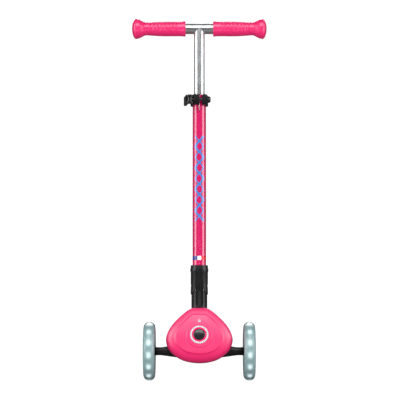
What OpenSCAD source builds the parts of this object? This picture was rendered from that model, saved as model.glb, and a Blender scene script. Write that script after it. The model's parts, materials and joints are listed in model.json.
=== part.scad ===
// Child's three-wheeled lean-to-steer kick scooter with a folding, telescopic T-bar.
// Frame: origin on the ground under the middle of the bounding box, front towards -Y, +Z up.

/* [Wheels] */
// Distance from the front axle line to the rear axle
wheelbase = 457.5; // [380:0.5:560]
// Distance between the middles of the two front wheels
track = 206; // [200:0.5:260]
// Diameter of the front wheels
front_wheel_d = 121; // [110:0.5:146]
// Width of the front tyres
front_wheel_w = 24; // [22:0.5:30]
// Diameter of the rear wheel
rear_wheel_d = 80; // [70:0.5:96]
// Width of the rear tyre
rear_wheel_w = 24; // [22:0.5:30]
// Diameter of the wheel axles
axle_d = 8; // [6:0.5:9]
// Outer diameter of the wheel bearings
bearing_d = 22; // [19:0.5:24]
// Thickness of the wheel bearings
bearing_w = 7; // [5:0.5:8]
// Number of lamps round each front wheel
led_count = 15; // [8:1:20]

/* [Deck] */
// Width of the standing board
deck_w = 118; // [98:1:150]
// Height of the board's top above the ground
deck_top = 72; // [68:0.5:86]
// Depth of the board's side skirt
deck_depth = 30; // [26:0.5:34]
// Wall of the moulded board
deck_wall = 3.5; // [2.5:0.1:5]
// Thickness of the rubber tread
tread_h = 2; // [1.5:0.1:4]
// Reach of the brake tail behind the rear tyre
tail_clear = 2; // [1:0.5:10]

/* [Steering] */
// Lean of the two kingpins from upright, tops forward
king_angle = 45; // [35:1:55]
// Distance of each kingpin from the middle
king_x = 38; // [36:0.5:44]
// Diameter of the kingpins
king_d = 10; // [8:0.5:11]
// Distance of the tie bar behind the kingpins
tie_offset = 20; // [18:0.5:24]
// Thickness of the arms at the wheels
arm_d = 17; // [14:0.5:20]

/* [Nose cover] */
// Greatest width of the nose cover
cover_w = 136; // [120:0.5:150]
// Height of the nose cover's middle above the ground
cover_z = 99.5; // [96:0.5:106]
// Lean of the nose cover's rim from upright
cover_tilt = 16; // [12:1:20]
// Bulge of the front cover
cover_bulge = 21.5; // [18:0.5:26]
// Depth of the rear cover
rear_cover_depth = 66; // [60:1:74]
// Wall of both covers
cover_wall = 3; // [2:0.1:4]
// Diameter of the steering lock button
button_d = 23.5; // [18:0.5:25]
// Travel of the steering lock button
button_travel = 3; // [2:0.5:4]

/* [T-bar] */
// Backward lean of the T-bar
rake = 8; // [5:0.5:10]
// Width over the two grips
handlebar_w = 283; // [236:1:344]
// Distance along the T-bar from the axle line to the handlebar
handlebar_s = 674; // [600:1:740]
// Outer diameter of the outer tube
outer_tube_d = 28; // [27:0.5:29]
// Wall of the outer tube
outer_tube_wall = 1.6; // [1.2:0.1:2]
// Distance along the T-bar from the axle line to the top of the clamp
clamp_top_s = 532; // [480:0.5:600]
// Height of the clamp collar along the tube
clamp_h = 22; // [18:0.5:28]
// Turn of the clamp about the tube, away from straight ahead
clamp_turn = 8; // [0:1:20]
// Outer diameter of the inner post
inner_post_d = 22; // [20:0.5:22.5]
// Wall of the inner post
inner_post_wall = 1.5; // [1.2:0.1:2.5]
// Length of inner post held inside the outer tube
post_insertion = 148; // [120:1:180]
// Diameter of the handlebar tube
crossbar_d = 22; // [20:0.5:24]
// Length of each grip
grip_l = 112.5; // [90:0.5:118]
// Diameter of the grips' safety flange
grip_flange_d = 43; // [34:0.5:50]

/* [Folding joint] */
// Distance along the T-bar from the axle line to the folding pin
fold_s = 133; // [130:0.5:140]
// Diameter of the neck below the folding joint
neck_d = 33; // [32:0.5:35]
// Wall of the folding joint's socket round the outer tube
socket_wall = 4; // [3:0.1:6]
// Length of the socket above the folding pin
socket_l = 44; // [42:0.5:60]
// Diameter of the folding pin
fold_pin_d = 8; // [6:0.5:9]
// Width of the tongue
tongue_w = 16; // [13:0.5:18]
// Travel of the fold release button
release_travel = 2; // [1:0.5:2]

/* [Hidden] */
$fn = 96;

run = 0.05;          // radial running clearance of a pin in its bore
gap = 0.3;           // clearance between faces that pass each other
cut = 1;             // how far a cutter runs past a face
snug = 0.2;          // clearance of trim in its opening

tail_reach = rear_wheel_d / 2 + tail_clear;

overall_l = front_wheel_d / 2 + wheelbase + tail_reach;
front_y = -overall_l / 2 + front_wheel_d / 2;
front_z = front_wheel_d / 2;
rear_y = front_y + wheelbase;
rear_z = rear_wheel_d / 2;
axle_r = axle_d / 2;
bearing_r = bearing_d / 2;
bearing_gap = 1.5;   // half of the distance between a wheel's two bearings
wheel_x = track / 2;

// ---------- places ----------

// Along the raked T-bar, s above the front axle line
module on_bar(s = 0) {
    translate([0, front_y, front_z]) rotate([-rake, 0, 0]) translate([0, 0, s]) children();
}

// Square to the kingpins: z along them, y backwards and up, centred on the front axle line
module on_kings() {
    translate([0, front_y, front_z]) rotate([king_angle, 0, 0]) children();
}

// On the plane of the nose cover's rim: z forwards out of the cover, y up along it
cover_y = front_y - 24.2;
module on_cover() {
    translate([0, cover_y, cover_z]) rotate([90 - cover_tilt, 0, 0]) children();
}

// On the axis of the steering lock button: z out of the cover, origin on its skin
button_tilt = 24;
button_drop = 3.2;   // the button sits a little below the cover's middle
module on_button() {
    on_cover() translate([0, -button_drop, cover_bulge])
        rotate([cover_tilt - button_tilt, 0, 0]) children();
}

module along_x(x0, x1, r) {
    translate([x0, 0, 0]) rotate([0, 90, 0]) cylinder(h = x1 - x0, r = r);
}

module block(x, y, z) {
    translate([x[0], y[0], z[0]]) cube([x[1] - x[0], y[1] - y[0], z[1] - z[0]]);
}

module pair_x() {
    children();
    mirror([1, 0, 0]) children();
}

// ---------- shared shapes ----------

// Coil spring along z, from z = 0 to z = h, with its ends closed
coil_sides = 6;
coil_steps = 14;
function coil_ring(r, wire, a, z) =
    [for (k = [0:coil_sides - 1])
        let (b = k * 360 / coil_sides, q = r + wire / 2 * cos(b))
        [q * cos(a), q * sin(a), z + wire / 2 * sin(b)]];
module coil(r, wire, h, turns) {
    n = turns * coil_steps;
    rise = h - wire;
    rings = [for (i = [0:n]) coil_ring(r, wire, i * 360 / coil_steps, wire / 2 + rise * i / n)];
    points = [for (ring = rings) each ring];
    sides = [for (i = [0:n - 1], k = [0:coil_sides - 1])
        let (a = i * coil_sides + k, b = i * coil_sides + (k + 1) % coil_sides)
        each [[a, a + coil_sides, b], [b, a + coil_sides, b + coil_sides]]];
    first = [[for (k = [0:coil_sides - 1]) k]];
    last = [[for (k = [coil_sides - 1:-1:0]) n * coil_sides + k]];
    polyhedron(points, concat(sides, first, last), convexity = 10);
}

// Ring turned about the x axis, from x0 to x1
module ring_x(x0, x1, r_in, r_out) {
    difference() {
        along_x(x0, x1, r_out);
        along_x(x0 - cut, x1 + cut, r_in);
    }
}

// Turned about the x axis from points [radius, x]
module turned_x(points) {
    rotate([0, 90, 0]) rotate_extrude() polygon(points);
}

// ---------- wheels ----------

tread_round = 11;    // roundness of a tyre's shoulders, at most
crown_w = 1;         // flattening of a tyre's crown
hub_rim = 6;         // depth of a hub's rim under the tyre
hub_web = 3;         // half thickness of a hub's web
tyre_depth = 16.5;   // depth of a front tyre over its hub
rear_tyre_depth = 10;

// Section of a tyre: flat-sided, with a crowned tread
function tyre_section(r_in, r_out, w) = let (round_r = min(tread_round, r_out - r_in - 2)) [
    [r_in, -w / 2 + 1.5], [r_in + 1.5, -w / 2],
    for (a = [-90:10:90])
        [r_out - round_r + round_r * cos(a),
         (w / 2 - crown_w) * sin(a) + crown_w * sin(a) * abs(sin(a))],
    [r_in + 1.5, w / 2], [r_in, w / 2 - 1.5]
];

module tyre_shape(d, w, depth) {
    turned_x(tyre_section(d / 2 - depth, d / 2, w));
}

module hub_shape(r, spokes) {
    half = bearing_gap + bearing_w;
    difference() {
        union() {
            ring_x(-half, half, r - hub_rim, r);
            ring_x(-hub_web, hub_web, bearing_r, r - hub_rim + 0.5);
            ring_x(-half, half, bearing_r, bearing_r + 4);
            ring_x(-bearing_gap, bearing_gap, axle_r + 3, bearing_r + 1);
        }
        for (i = [0:spokes - 1])
            rotate([i * 360 / spokes, 0, 0])
                translate([0, 0, (r - hub_rim + bearing_r + 4) / 2])
                    along_x(-hub_web - cut, hub_web + cut, (r - hub_rim - bearing_r - 4) / 2 - 2);
    }
}

module bearing_pair() {
    pair_x() ring_x(bearing_gap, bearing_gap + bearing_w, axle_r + run, bearing_r);
}

front_hub_r = front_wheel_d / 2 - tyre_depth;
rear_hub_r = rear_wheel_d / 2 - rear_tyre_depth;
led_ring_h = 1.2;
led_ring_w = 5.6;
led_size = 4;
led_depth = 2;
cap_r = bearing_r + 3.5;
cap_out = bearing_gap + bearing_w + 5.15;             // reach of the hub cap

module tyre() {
    color([0.62, 0.72, 0.72])
        difference() {
            tyre_shape(front_wheel_d, front_wheel_w, tyre_depth);
            ring_x(-led_ring_w / 2 - 0.2, led_ring_w / 2 + 0.2, front_hub_r - cut,
                   front_hub_r + led_ring_h + led_depth + 0.3);
        }
}

module hub() {
    color([0.16, 0.16, 0.17]) hub_shape(front_hub_r, 5);
}

module led_ring() {
    color([0.9, 0.95, 1]) {
        ring_x(-led_ring_w / 2, led_ring_w / 2, front_hub_r, front_hub_r + led_ring_h);
        for (i = [0:led_count - 1])
            rotate([-90 + 2 + i * 360 / led_count, 0, 0])
                block([-led_size / 2, led_size / 2], [-led_size / 2, led_size / 2],
                      [front_hub_r + led_ring_h - 0.2, front_hub_r + led_ring_h + led_depth]);
    }
}

// Pressed into the outer face of the hub, over the axle nut; outwards is +x
module hub_cap() {
    base = bearing_gap + bearing_w;
    color([0.16, 0.16, 0.17])
        difference() {
            turned_x([[0, base], [cap_r, base], [cap_r, cap_out - 2], [cap_r - 3, cap_out - 0.5],
                      [0, cap_out]]);
            along_x(base - cut, cap_out - 1.5, bearing_r - 1.5);
        }
}

module front_wheel(side) {
    translate([side * wheel_x, front_y, front_z]) mirror([side < 0 ? 1 : 0, 0, 0]) children();
}

// ---------- steering ----------

boss_low = 6;        // reach of an arm's boss down its kingpin
boss_high = 15;      // and up it
boss_r = 12;
plate_t = 5;         // thickness of the bracket's lower plate
upper_t = 8;         // and of its upper plate
plate_r = boss_r - 0.5;
tie_half = 3;        // half thickness of the tie bar
tie_r = 5.5;         // roundness of the tie bar's ends
tie_pin_r = 3;
lever_low = tie_half + 1;
lever_high = tie_half + 7;
arm_x = wheel_x - bearing_gap - bearing_w - 2.35;     // outer end of an arm
king_r = king_d / 2;
bush_r = king_r + 2.5;
bush_h = 9;

// Arm of the left side or right side, drawn for +x
module arm_body() {
    difference() {
        union() {
            on_kings() {
                translate([king_x, 0, -boss_low]) cylinder(h = boss_low + boss_high, r = boss_r);
                translate([king_x, tie_offset, lever_low])
                    cylinder(h = lever_high - lever_low, r = tie_r + 1);
                block([king_x - tie_r - 1, king_x + tie_r + 1], [0, tie_offset],
                      [lever_low, lever_high]);
            }
            translate([0, front_y, front_z]) {
                along_x(king_x + 4, arm_x, arm_d / 2);
                translate([king_x + 8, 0, 0]) rotate([0, 90, 0])
                    cylinder(h = arm_x - king_x - 22, r1 = boss_r + 1, r2 = arm_d / 2);
            }
            translate([spring_x, front_y, front_z]) cylinder(h = spring_low, r = spring_r + 2);
        }
        on_kings() {
            translate([king_x, 0, -boss_low - cut])
                cylinder(h = boss_low + boss_high + 2 * cut, r = bush_r);
            translate([king_x, tie_offset, 0]) cylinder(h = 20, r = tie_pin_r + run);
            block([0, king_x + 30], [-40, 60], [boss_high, boss_high + 30]);
            block([0, king_x + boss_r + 1], [-40, 60], [-boss_low - 30, -boss_low]);
        }
        translate([0, front_y, front_z]) along_x(stub_in, arm_x + cut, axle_r);
    }
}

module arm_bushes() {
    on_kings()
        translate([king_x, 0, 0])
            difference() {
                for (z = [-boss_low, boss_high - bush_h])
                    translate([0, 0, z]) cylinder(h = bush_h, r = bush_r);
                translate([0, 0, -boss_low - cut])
                    cylinder(h = boss_low + boss_high + 2 * cut, r = king_r + run);
            }
}

stub_in = arm_x - 24;
nut_t = 3;
module stub_axle() {
    inner_face = wheel_x - bearing_gap - bearing_w;
    outer_face = wheel_x + bearing_gap + bearing_w;
    translate([0, front_y, front_z]) {
        along_x(stub_in, outer_face + gap + nut_t, axle_r);
        ring_x(arm_x, inner_face - gap, axle_r, axle_r + 2.5);
        translate([outer_face + gap, 0, 0]) rotate([0, 90, 0]) cylinder(h = nut_t, r = 7, $fn = 6);
    }
}

spring_x = 54;
spring_r = 6;
spring_wire = 1.8;
spring_low = 12;     // seat on the arm, above the axle line
spring_high = 32;    // seat under the bracket's wing, above the axle line
wing_t = 4;

// Plates and web between the kingpins, and a tower that carries the folding base
flange_s = 64;       // underside of the folding base's flange, along the T-bar
flange_t = 6;
flange_w = 40;
flange_hole = 15;    // offset of the flange's bolts from the T-bar
tower_x = 22;
tower_gap = 8;
tongue_x = 25;                        // half width of the bracket's rear plate
tongue_z = [-16, -8];                 // its height, from the axle line
tongue_y = [-2, 84];
deck_bolt_y = [54, 74];               // deck bolts, from the axle line
deck_bolt_x = 16;
bolt_r = 2.5;
deck_bolt_r = 3;

module bracket_body() {
    difference() {
        union() {
            on_kings() {
                for (z = [[-boss_low - gap - plate_t, plate_t], [boss_high + gap, upper_t]]) {
                    pair_x() translate([king_x, 0, z[0]]) cylinder(h = z[1], r = plate_r);
                    block([-king_x, king_x], [-plate_r, 8], [z[0], z[0] + z[1]]);
                }
                block([-tower_x, tower_x], [-plate_r, 8], [-boss_low - 1, boss_high + 1]);
            }
            translate([0, front_y, front_z]) {
                block([-tongue_x, tongue_x], tongue_y, tongue_z);
                pair_x() block([tower_x - 4, spring_x + 5], [-8, 8],
                               [spring_high, spring_high + wing_t]);
            }
            pair_x() translate([tower_gap, front_y, front_z]) rotate([90, 0, 90])
                linear_extrude(tower_x - tower_gap)
                    polygon([[-18, 10], [2, 6], [8, 14], [10, 24], [26, 42], [31, 53], [-14, 59],
                             [-16, 30]]);
            on_bar(flange_s - 8)
                block([-flange_w / 2, flange_w / 2], [-flange_w / 2, flange_w / 2], [0, 8]);
        }
        on_kings() pair_x() translate([king_x, 0, -40]) cylinder(h = 80, r = king_r);
        on_bar(flange_s - 14)
            for (x = [-flange_hole, flange_hole], y = [-flange_hole, flange_hole])
                translate([x, y, 0]) cylinder(h = 20, r = bolt_r);
        on_bar(flange_s - 60) translate([0, 0, 30]) cylinder(h = 31, r = 7);
        translate([0, front_y, front_z])
            for (x = [-deck_bolt_x, deck_bolt_x], y = deck_bolt_y)
                translate([x, y, tongue_z[0] - cut]) cylinder(h = 12, r = deck_bolt_r);
        on_button() translate([0, 0, -lock_pin_l - 20]) cylinder(h = lock_pin_l + 20, r = lock_pin_r + 2);
    }
}

module kingpin_bolt() {
    low = -boss_low - gap - plate_t;
    top = boss_high + gap + upper_t;
    translate([king_x, 0, low]) cylinder(h = top - low, r = king_r);
    translate([king_x, 0, low - 2]) cylinder(h = 2, r = king_r + 2);
    translate([king_x, 0, top]) cylinder(h = 5, r = king_r + 3.5, $fn = 6);
}

module tie_link() {
    difference() {
        on_kings() {
            pair_x() translate([king_x, tie_offset, -tie_half]) cylinder(h = 2 * tie_half, r = tie_r);
            block([-king_x, king_x], [tie_offset - tie_r, tie_offset + tie_r], [-tie_half, tie_half]);
            translate([0, tie_offset, -tie_half]) cylinder(h = 2 * tie_half, r = tie_r + 2.5);
        }
        on_kings() {
            pair_x() translate([king_x, tie_offset, -10]) cylinder(h = 20, r = tie_pin_r);
            translate([0, tie_offset, -10]) cylinder(h = 20, r = lock_pin_r + 0.6);
        }
    }
}

// ---------- steering lock ----------

button_r = button_d / 2;
housing_r = button_r + 2;
bezel_r = button_r + 7;
bezel_seat = 0.6;    // depth of the bezel's seat in the cover
bezel_t = 2;
housing_l = 24;
housing_floor = 3;
lock_pin_r = 4;
lock_reach = 61;     // from the cover's skin to just short of the tie bar
lock_pin_l = lock_reach - button_travel;
button_skirt = 8;
button_proud = 4.5;

// ---------- nose cover ----------

// Half outline of the nose cover from the top round to the bottom, for a cover 138.4 wide
cover_shape_w = 138.4;
cover_half = [[0, 54], [17.5, 53], [34.8, 41], [53.9, 22.4], [66, 3.3], [69.2, -15.1],
              [60.3, -35.6], [35, -53], [0, -59]];
cover_points = [for (p = cover_half) [p[0] * cover_w / cover_shape_w, p[1]]];
function at_half(i) =
    i < 0 ? [-cover_points[-i][0], cover_points[-i][1]]
    : i >= len(cover_points)
        ? [-cover_points[2 * len(cover_points) - 2 - i][0], cover_points[2 * len(cover_points) - 2 - i][1]]
        : cover_points[i];
function through(a, b, c, d, t) =
    0.5 * (2 * b + (c - a) * t + (2 * a - 5 * b + 4 * c - d) * t * t
           + (3 * b - a - 3 * c + d) * t * t * t);
cover_steps = 3;
half_curve = [for (i = [0:len(cover_points) - 2], k = [0:cover_steps - 1])
    through(at_half(i - 1), at_half(i), at_half(i + 1), at_half(i + 2), k / cover_steps)];
cover_curve = concat(half_curve, [cover_points[len(cover_points) - 1]],
                     [for (i = [len(half_curve) - 1:-1:1]) [-half_curve[i][0], half_curve[i][1]]]);

// Solid dome on the outline: its rings shrink towards the middle as they rise
dome_rings = 8;
module dome(depth, inset, fullness, skirt, drop) {
    n = len(cover_curve);
    scale_in = 1 - inset / (cover_w / 2);
    function height(q) = depth * pow(max(0, 1 - pow(q, fullness)), 1 / fullness);
    rho = [for (i = [0:dome_rings - 1]) cos(90 * i / dome_rings)];
    low = [for (p = cover_curve) [p[0] * scale_in, p[1] * scale_in, -skirt]];
    rings = [for (q = rho) each [for (p = cover_curve)
        [p[0] * scale_in * q, p[1] * scale_in * q, height(q) * (1 - drop * p[1] * q)]]];
    points = concat(low, rings, [[0, 0, depth]]);
    top = n * (dome_rings + 1);
    sides = [for (i = [0:dome_rings - 1], k = [0:n - 1])
        let (a = i * n + k, b = i * n + (k + 1) % n)
        each [[a, a + n, b], [b, a + n, b + n]]];
    cap = [for (k = [0:n - 1]) [n * dome_rings + k, top, n * dome_rings + (k + 1) % n]];
    base = [[for (k = [n - 1:-1:0]) k]];
    polyhedron(points, concat(sides, cap, base), convexity = 8);
}

front_fullness = 2.3;
rear_fullness = 4;
bulge_drop = 0.004;
rear_cut_z = 88;     // bottom edge of the rear cover

module screw_posts(r, low, high) {
    for (x = [-30, 30]) translate([x, 14, low]) cylinder(h = high - low, r = r);
}

// ---------- deck ----------

deck_front = front_y + 66;
deck_end = rear_y - rear_wheel_d / 2 - 6;
neck_half = 34;      // half width of the deck's front neck
neck_front = 36;     // front face of the deck's neck, from the axle line
fender_x = rear_wheel_w / 2 + 4;      // half width of the brake's plate
fork_in = fender_x + 1.5;
fork_out = fork_in + 10;
fork_r = 12;
rib_t = 2.5;
front_ease = 42;     // length over which the deck's sides curve in at the front
rear_ease = 150;     // and at the back

function smooth(t) = t <= 0 ? 0 : t >= 1 ? 1 : t * t * (3 - 2 * t);
function deck_half(y) =
    min(neck_half + (deck_w / 2 - neck_half) * smooth((y - deck_front) / front_ease),
        fork_out + (deck_w / 2 - fork_out) * smooth((deck_end - y) / rear_ease));
deck_steps = 48;
deck_side = [for (i = [0:deck_steps])
    let (y = deck_front + (deck_end - deck_front) * i / deck_steps) [deck_half(y), y]];
module deck_outline(inset) {
    right = [for (p = deck_side) [p[0] - inset, p[1]]];
    left = [for (i = [len(right) - 1:-1:0]) [-right[i][0], right[i][1]]];
    polygon(concat(right, left));
}
deck_low = deck_top - deck_depth;

hinge_z = deck_top - 6;
hinge_reach = rear_wheel_d / 2 + 11;  // from the rear axle to the brake's hinge
hinge_y = rear_y - sqrt(hinge_reach * hinge_reach - (hinge_z - rear_z) * (hinge_z - rear_z));
hinge_r = 3;
knuckle_r = hinge_r + 2.5;
knuckle_gap = 2.5;
fender_in = rear_wheel_d / 2 + 7.5;
fender_t = 3;
pad_t = 3;

module deck_body() {
    difference() {
        union() {
            translate([0, 0, deck_low]) linear_extrude(deck_depth) deck_outline(0);
            translate([-neck_half, front_y, 0]) rotate([90, 0, 90]) linear_extrude(2 * neck_half)
                polygon([[neck_front, deck_low], [neck_front, rear_cut_z - 1],
                         [neck_front + 16, deck_top + 3],
                         [70, deck_top], [70, deck_low]]);
        }
        difference() {
            translate([0, 0, deck_low - cut])
                linear_extrude(deck_depth - deck_wall + cut) deck_outline(deck_wall);
            for (x = [-deck_w / 6, deck_w / 6])
                block([x - rib_t / 2, x + rib_t / 2], [deck_front - 40, deck_end], [0, deck_top]);
            for (y = [front_y + 112:44:deck_end - 20])
                block([-deck_w / 2, deck_w / 2], [y - rib_t / 2, y + rib_t / 2], [0, deck_top]);
            block([-deck_w / 2, deck_w / 2], [deck_end - deck_wall, deck_end], [0, deck_top]);
            translate([0, front_y, 0])
                for (x = [-deck_bolt_x, deck_bolt_x], y = deck_bolt_y)
                    translate([x, y, front_z + tongue_z[1]]) cylinder(h = 60, r = deck_bolt_r + 4);
        }
        translate([0, front_y, 0])
            block([-neck_half + deck_wall, neck_half - deck_wall], [neck_front - cut, 71],
                  [deck_low - cut, front_z + tongue_z[1]]);
        translate([0, front_y, 0])
            difference() {
                block([-neck_half + deck_wall, neck_half - deck_wall], [neck_front + deck_wall, 68],
                      [deck_low - cut, deck_top - deck_wall]);
                for (x = [-deck_bolt_x, deck_bolt_x], y = deck_bolt_y)
                    translate([x, y, front_z + tongue_z[1]]) cylinder(h = 60, r = deck_bolt_r + 4);
            }
        translate([0, front_y, 0])
            block([-tongue_x - cut, tongue_x + cut], [neck_front, tongue_y[1] + cut],
                  [deck_low - cut, front_z + tongue_z[1]]);
        translate([0, front_y, 0])
            for (x = [-deck_bolt_x, deck_bolt_x], y = deck_bolt_y)
                translate([x, y, front_z + tongue_z[1] - cut]) cylinder(h = 16, r = deck_bolt_r);
    }
}

module fork_sides() {
    fork_y = min(deck_end, hinge_y) - 6;
    pair_x() {
        block([fork_in, fork_out], [fork_y, rear_y], [rear_z - fork_r, rear_z + fork_r]);
        translate([0, rear_y, rear_z]) along_x(fork_in, fork_out, fork_r);
        block([fork_in, fork_out], [fork_y, hinge_y], [rear_z, hinge_z + 5]);
        translate([0, hinge_y, hinge_z]) along_x(fork_in, fork_out, 5);
    }
}

// ---------- T-bar ----------

outer_r = outer_tube_d / 2;
inner_r = outer_r - outer_tube_wall;
post_r = inner_post_d / 2;
neck_r = neck_d / 2;
socket_r = outer_r + socket_wall;
tongue_r = 13;
cheek_r = 16.5;      // roundness of the socket's cheeks about the folding pin
shoulder_s = fold_s - cheek_r - 1;
socket_top = fold_s + socket_l;
slot_top = fold_s + 17;
tube_low = fold_s + 23;
pin_head_r = 6.5;
pin_head_t = 2;
plunger_r = 5;
plunger_low = fold_s + tongue_r + gap;
plunger_flange = fold_s + 33;
seat_s = fold_s + 45;
button_low = fold_s + 25;
button_high = fold_s + 38;
clamp_low_s = clamp_top_s - clamp_h;
band_s = [188, 196];
post_low = clamp_top_s - post_insertion;

clamp_r = outer_r + 4.5;
ear_y = [-outer_r - 14, -outer_r + 2];
ear_gap = 3.1;
ear_left = -14.8;
ear_right = 12.5;
bolt_y = -outer_r - 8;
cam_r = 8;
cam_x = ear_left - cam_r - 0.4;
cam_half = 9;
eye_half = 4;
lever_pin_r = 2.5;

module on_clamp() {
    on_bar(clamp_low_s + clamp_h / 2) rotate([0, 0, clamp_turn]) children();
}

grip_in = handlebar_w / 2 - grip_l;
crossbar_r = crossbar_d / 2;
flange_r = grip_flange_d / 2;

// Section of a grip: [radius, distance from the middle of the handlebar], outer end last
grip_end = handlebar_w / 2;
grip_dome = 9;       // depth of a grip's rounded end
neck_x = grip_end - 31;
function grip_radius(t) =
    crossbar_r + 2.5 + 2.1 * sin(180 * t) + 2.8 * pow(1 - t, 6);
grip_section = [
    [crossbar_r, grip_in],
    for (i = [0:16]) let (t = i / 16) [grip_radius(t), grip_in + 0.5 + (neck_x - grip_in) * t],
    for (i = [1:6]) let (t = i / 6)
        [crossbar_r + 2.5 + (flange_r - crossbar_r - 3.5) * smooth(t), neck_x + 0.5 + 19 * t],
    [flange_r, grip_end - grip_dome - 1.5],
    for (a = [0:10:90]) [flange_r * cos(a), grip_end - grip_dome + grip_dome * sin(a)],
    [0, grip_end - 4], [crossbar_r, grip_end - 4]
];

module grip() {
    color([0.95, 0.05, 0.45]) on_bar(handlebar_s) turned_x(grip_section);
}

// ---------- sub-parts ----------

module deck_shell() {
    notch_y = hinge_y - knuckle_r - knuckle_gap;
    notch_z = hinge_z - knuckle_r - knuckle_gap;
    color([0.96, 0.1, 0.47])
        difference() {
            union() {
                deck_body();
                fork_sides();
                block([-fork_in - 1, fork_in + 1], [notch_y - deck_wall, notch_y], [notch_z, deck_top]);
                block([-fork_in - 1, fork_in + 1], [notch_y - deck_wall, deck_end],
                      [notch_z - deck_wall, notch_z]);
            }
            block([-fork_in, fork_in], [notch_y, deck_end + 10], [notch_z, deck_top + cut]);
            translate([0, hinge_y, hinge_z]) along_x(-fork_out - cut, fork_out + cut, hinge_r);
            translate([0, rear_y, rear_z]) along_x(-fork_out - cut, fork_out + cut, axle_r);
        }
}

pad_y = [deck_front + 34, deck_end - 40];
pad_inset = 11;
module grip_pad() {
    color([0.12, 0.12, 0.13])
        translate([0, 0, deck_top])
            intersection() {
                linear_extrude(tread_h) deck_outline(pad_inset);
                block([-deck_w / 2, deck_w / 2], pad_y, [0, tread_h]);
            }
}

module nose_cover() {
    color([0.96, 0.12, 0.48])
        difference() {
            on_cover() union() {
                difference() {
                    dome(cover_bulge, 0, front_fullness, 4, bulge_drop);
                    dome(cover_bulge - cover_wall, cover_wall, front_fullness, 5, bulge_drop);
                }
                intersection() {
                    screw_posts(4.5, -4, cover_bulge);
                    dome(cover_bulge - cover_wall / 2, cover_wall, front_fullness, 4, bulge_drop);
                }
            }
            on_button() translate([0, 0, -40]) cylinder(h = 60, r = housing_r + snug);
            on_button() translate([0, 0, -bezel_seat]) cylinder(h = 20, r = bezel_r + snug);
            on_cover() screw_posts(1.5, -5, 10);
            on_bar(0) cylinder(h = 200, r = neck_r + 1);
        }
}

module rear_cover() {
    color([0.96, 0.12, 0.48])
        difference() {
            on_cover() translate([0, 0, -4.2]) mirror([0, 0, 1]) union() {
                difference() {
                    dome(rear_cover_depth, 0, rear_fullness, 0, 0);
                    dome(rear_cover_depth - cover_wall, cover_wall, rear_fullness, cut, 0);
                }
                intersection() {
                    screw_posts(4.5, 0, rear_cover_depth);
                    dome(rear_cover_depth - cover_wall / 2, cover_wall, rear_fullness, 0, 0);
                }
            }
            translate([0, front_y, 0]) block([-100, 100], [-100, 150], [-20, rear_cut_z]);
            on_cover() screw_posts(1.7, -70, 5);
            on_cover() screw_posts(3.5, -80, -14);
            on_bar(0) cylinder(h = 200, r = neck_r + 1);
        }
}

module cover_screws() {
    color([0.7, 0.7, 0.72]) on_cover() {
        screw_posts(1.5, -14, 6);
        screw_posts(3, -16.5, -14);
    }
}

module lock_housing() {
    color([0.88, 0.9, 0.9]) on_button()
        difference() {
            union() {
                translate([0, 0, -housing_l]) cylinder(h = housing_l + 1, r = housing_r);
                translate([0, 0, -bezel_seat]) cylinder(h = bezel_seat, r = bezel_r);
                cylinder(h = bezel_t, r1 = bezel_r, r2 = bezel_r - 1);
            }
            translate([0, 0, -housing_l + housing_floor]) cylinder(h = housing_l + 5, r = button_r + run);
            translate([0, 0, -housing_l - cut]) cylinder(h = housing_floor + 2 * cut, r = lock_pin_r + run);
        }
}

module lock_spring() {
    color("silver") on_button() translate([0, 0, -housing_l + housing_floor + 0.05])
        coil(lock_pin_r + 2.2, 1.2, housing_l - housing_floor - button_skirt - 0.1, 4);
}

module lock_button() {
    color([0.1, 0.1, 0.1]) on_button()
        rotate_extrude()
            polygon([[0, -button_skirt], [button_r, -button_skirt], [button_r, 2],
                     for (a = [10:10:90]) [button_r * cos(a), 2 + (button_proud - 2) * sin(a)]]);
}

module lock_pin() {
    color("silver") on_button() translate([0, 0, -lock_pin_l])
        cylinder(h = lock_pin_l - button_skirt, r = lock_pin_r);
}

module steering_bracket() {
    color([0.55, 0.56, 0.58]) bracket_body();
}

module kingpins() {
    color([0.75, 0.76, 0.78]) on_kings() pair_x() kingpin_bolt();
}

module centring_springs() {
    color("silver") pair_x()
        translate([spring_x, front_y, front_z + spring_low + 0.1])
            coil(spring_r, spring_wire, spring_high - spring_low - 0.2, 4);
}

module arm_left() { color([0.1, 0.1, 0.11]) mirror([1, 0, 0]) arm_body(); }
module arm_right() { color([0.1, 0.1, 0.11]) arm_body(); }
module arm_bushes_left() { color([0.85, 0.82, 0.7]) mirror([1, 0, 0]) arm_bushes(); }
module arm_bushes_right() { color([0.85, 0.82, 0.7]) arm_bushes(); }
module stub_axle_left() { color([0.75, 0.76, 0.78]) mirror([1, 0, 0]) stub_axle(); }
module stub_axle_right() { color([0.75, 0.76, 0.78]) stub_axle(); }

module tie_bar() {
    color([0.55, 0.56, 0.58]) tie_link();
}

module tie_pins() {
    color([0.75, 0.76, 0.78]) on_kings() pair_x() {
        translate([king_x, tie_offset, -tie_half - 2]) cylinder(h = 2, r = tie_pin_r + 1.5);
        translate([king_x, tie_offset, -tie_half]) cylinder(h = lever_high + tie_half, r = tie_pin_r);
    }
}

module tyre_left() { front_wheel(-1) tyre(); }
module tyre_right() { front_wheel(1) tyre(); }
module hub_left() { front_wheel(-1) hub(); }
module hub_right() { front_wheel(1) hub(); }
module bearings_left() { color("silver") front_wheel(-1) bearing_pair(); }
module bearings_right() { color("silver") front_wheel(1) bearing_pair(); }
module led_ring_left() { front_wheel(-1) led_ring(); }
module led_ring_right() { front_wheel(1) led_ring(); }
module hub_cap_left() { front_wheel(-1) hub_cap(); }
module hub_cap_right() { front_wheel(1) hub_cap(); }

module rear_tyre() {
    color([0.62, 0.72, 0.72]) translate([0, rear_y, rear_z])
        tyre_shape(rear_wheel_d, rear_wheel_w, rear_tyre_depth);
}

module rear_hub() {
    color([0.16, 0.16, 0.17]) translate([0, rear_y, rear_z]) hub_shape(rear_hub_r, 5);
}

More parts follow.
